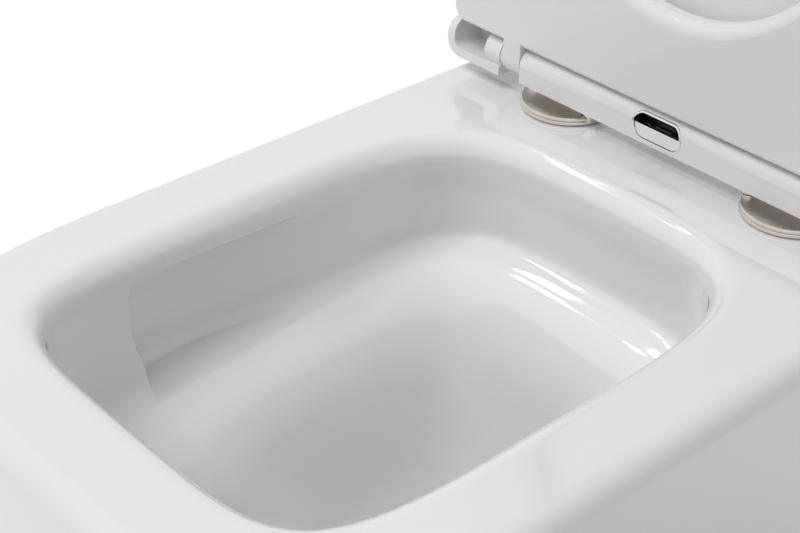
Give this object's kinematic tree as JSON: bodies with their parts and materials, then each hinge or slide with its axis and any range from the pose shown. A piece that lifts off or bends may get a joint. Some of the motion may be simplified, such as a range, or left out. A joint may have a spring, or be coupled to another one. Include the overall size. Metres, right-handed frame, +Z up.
{
  "type": "close coupled toilet pan",
  "caption": "Rimless ceramic toilet pan with a soft-close seat and lid on a quick-release hinge bar, shown with both raised.",
  "frame": {"origin": "on the floor at the middle of the pan's length and width", "axes": "+Z up, +Y towards the wall, +X to the right seen from the front"},
  "size_m": [0.355, 0.6199, 0.8484],
  "materials": {
    "glazed_ceramic": "white vitreous china under a clear gloss glaze",
    "seat_plastic": "polished white moulded plastic",
    "chrome": "bright chrome plate",
    "satin_nickel": "satin nickel with a bright rim",
    "zinc_steel": "zinc plated steel",
    "spring_steel": "drawn spring wire",
    "black_nylon": "black moulded nylon",
    "grey_nylon": "grey moulded nylon",
    "white_nylon": "white moulded nylon",
    "white_rubber": "soft white rubber",
    "black_rubber": "soft black rubber",
    "clear_rubber": "thin translucent seal"
  },
  "bodies": {
    "pan": {"pan_body": "glazed_ceramic", "hinge_bar": "seat_plastic", "hinge_bar_base": "seat_plastic", "bar_screws": "zinc_steel", "button_bezel": "chrome", "button_well": "black_nylon", "button_springs": "spring_steel", "latch_springs": "spring_steel", "damper_body_left": "grey_nylon", "damper_body_right": "grey_nylon", "base_seals": "clear_rubber", "base_plate_left": "satin_nickel", "base_plate_right": "satin_nickel", "disc_cover_left": "satin_nickel", "disc_cover_right": "satin_nickel", "hinge_post_left": "black_nylon", "hinge_post_right": "black_nylon", "seat_bolts": "zinc_steel", "expansion_sleeves": "black_rubber", "sleeve_nuts": "zinc_steel", "floor_bracket_left": "white_nylon", "floor_bracket_right": "white_nylon", "side_screws": "zinc_steel", "side_caps": "chrome"},
    "seat": {"seat_ring": "seat_plastic", "seat_buffers": "white_rubber", "damper_shaft_left": "zinc_steel", "seat_bush_right": "white_nylon"},
    "lid": {"lid": "seat_plastic", "lid_buffers": "white_rubber", "damper_shaft_right": "zinc_steel", "lid_bush_left": "white_nylon"},
    "release_button": {"release_button": "chrome"},
    "latch_left": {"latch_left": "zinc_steel"},
    "latch_right": {"latch_right": "zinc_steel"}
  },
  "joints": [
    {"name": "seat_hinge", "type": "hinge", "parent": "pan", "child": "seat", "pos_m": [0, 0.106, 0.4269], "axis": [1, 0, 0], "range_deg": [0, 92.5]},
    {"name": "lid_hinge", "type": "hinge", "parent": "seat", "child": "lid", "pos_m": [0, 0.106, 0.4269], "axis": [1, 0, 0], "range_deg": [-87.5, 0]},
    {"name": "button_travel", "type": "slide", "parent": "pan", "child": "release_button", "axis": [0, 1, 0], "range_m": [0, 0.003], "stiffness_N_per_m": 800, "springref_m": -0.003, "deforming": ["button_springs"]},
    {"name": "latch_left_slide", "type": "slide", "parent": "pan", "child": "latch_left", "axis": [-1, 0, 0], "range_m": [0, 0.003]},
    {"name": "latch_right_slide", "type": "slide", "parent": "pan", "child": "latch_right", "axis": [1, 0, 0], "range_m": [0, 0.003], "deforming": ["latch_springs"]}
  ],
  "couplings": [
    {"joint": "latch_left_slide", "follows": "button_travel", "ratio": 1},
    {"joint": "latch_right_slide", "follows": "button_travel", "ratio": 1}
  ]
}
